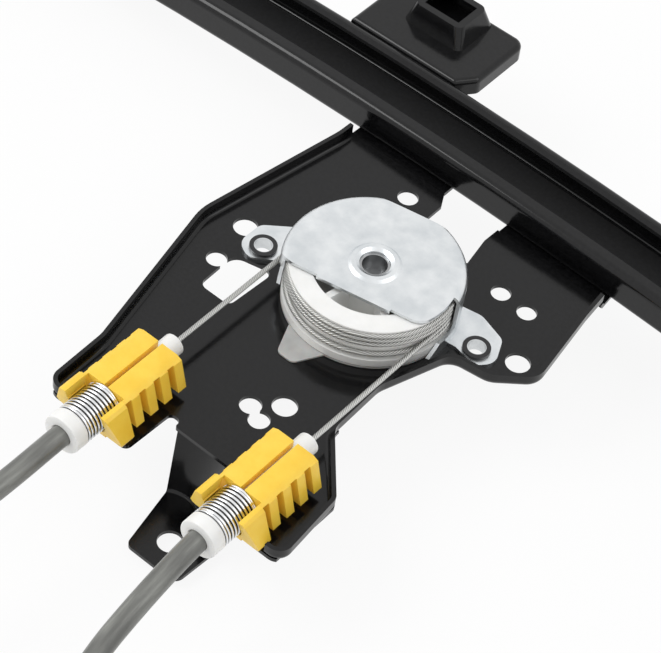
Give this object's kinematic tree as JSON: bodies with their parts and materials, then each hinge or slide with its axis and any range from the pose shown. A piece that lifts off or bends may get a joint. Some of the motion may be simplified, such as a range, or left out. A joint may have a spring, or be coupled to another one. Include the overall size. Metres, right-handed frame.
{
  "type": "window regulator",
  "caption": "Single-rail cable window regulator for a vehicle door: arched guide rail, cable drum under a pressed cap, sprung adjusters, sheathed cables and a glass carrier.",
  "frame": {"origin": "axis of the cable drum at the top face of the drum plate", "axes": "+X along the guide rail, +Y from the drum towards the rail, +Z out of the drum plate towards the drum"},
  "size_m": [0.5164, 0.3055, 0.0471],
  "materials": {
    "black_paint": "gloss black stove enamel",
    "zinc_plate": "bright zinc, satin",
    "white_nylon": "smooth moulded",
    "clear_nylon": "milky, slightly translucent",
    "steel_cable": "stranded, bare",
    "yellow_plastic": "moulded, slight sheen",
    "spring_steel": "bright",
    "grey_sheath": "smooth extruded jacket",
    "black_plastic": "moulded, fine grain",
    "black_rubber": "matt"
  },
  "bodies": {
    "frame": {"guide_rail": "black_paint", "drum_plate": "black_paint", "door_bracket": "black_paint", "drum_housing": "zinc_plate", "housing_eyelets": "black_paint", "drum_washer": "clear_nylon", "channel_cable": "steel_cable", "adjuster_block_left": "yellow_plastic", "adjuster_sleeve_left": "white_nylon", "adjuster_spring_left": "spring_steel", "cable_run_left": "steel_cable", "sheath_left": "grey_sheath", "pulley_housing_left": "black_plastic", "pulley_cover_left": "zinc_plate", "pulley_axle_left": "zinc_plate", "sheath_ferrule_left": "black_plastic", "end_stop_left": "black_rubber", "adjuster_block_right": "yellow_plastic", "adjuster_sleeve_right": "white_nylon", "adjuster_spring_right": "spring_steel", "cable_run_right": "steel_cable", "sheath_right": "grey_sheath", "pulley_housing_right": "black_plastic", "pulley_cover_right": "zinc_plate", "pulley_axle_right": "zinc_plate", "sheath_ferrule_right": "black_plastic", "end_stop_right": "black_rubber"},
    "drum": {"cable_drum": "white_nylon", "drum_windings": "steel_cable", "drive_insert": "zinc_plate"},
    "carrier": {"glass_carrier": "black_plastic", "cable_nipples": "zinc_plate", "glass_pads": "black_rubber", "glass_clamp": "black_paint", "clamp_bolt": "zinc_plate", "clamp_nut": "zinc_plate"},
    "pulley_left": {"end_pulley_left": "white_nylon"},
    "pulley_right": {"end_pulley_right": "white_nylon"}
  },
  "joints": [
    {"name": "carrier_travel", "type": "hinge", "parent": "frame", "child": "carrier", "pos_m": [0, 0, -1.5012], "axis": [0, -1, 0], "range_deg": [0, 11.48]},
    {"name": "drum_spin", "type": "hinge", "parent": "frame", "child": "drum", "pos_m": [0, 0, 0], "axis": [0, 0, -1], "range_deg": [0, 751.2]},
    {"name": "pulley_left_spin", "type": "hinge", "parent": "frame", "child": "pulley_left", "pos_m": [-0.24044, 0.0412, -0.01637], "axis": [-0.15, 0, 0.9887], "range_deg": [0, 1440]},
    {"name": "pulley_right_spin", "type": "hinge", "parent": "frame", "child": "pulley_right", "pos_m": [0.24044, 0.0412, -0.01637], "axis": [0.15, 0, 0.9887], "range_deg": [0, 1440]}
  ],
  "couplings": [
    {"joint": "drum_spin", "follows": "carrier_travel", "ratio": 65.396},
    {"joint": "pulley_left_spin", "follows": "carrier_travel", "ratio": 125.34},
    {"joint": "pulley_right_spin", "follows": "carrier_travel", "ratio": 125.34}
  ]
}
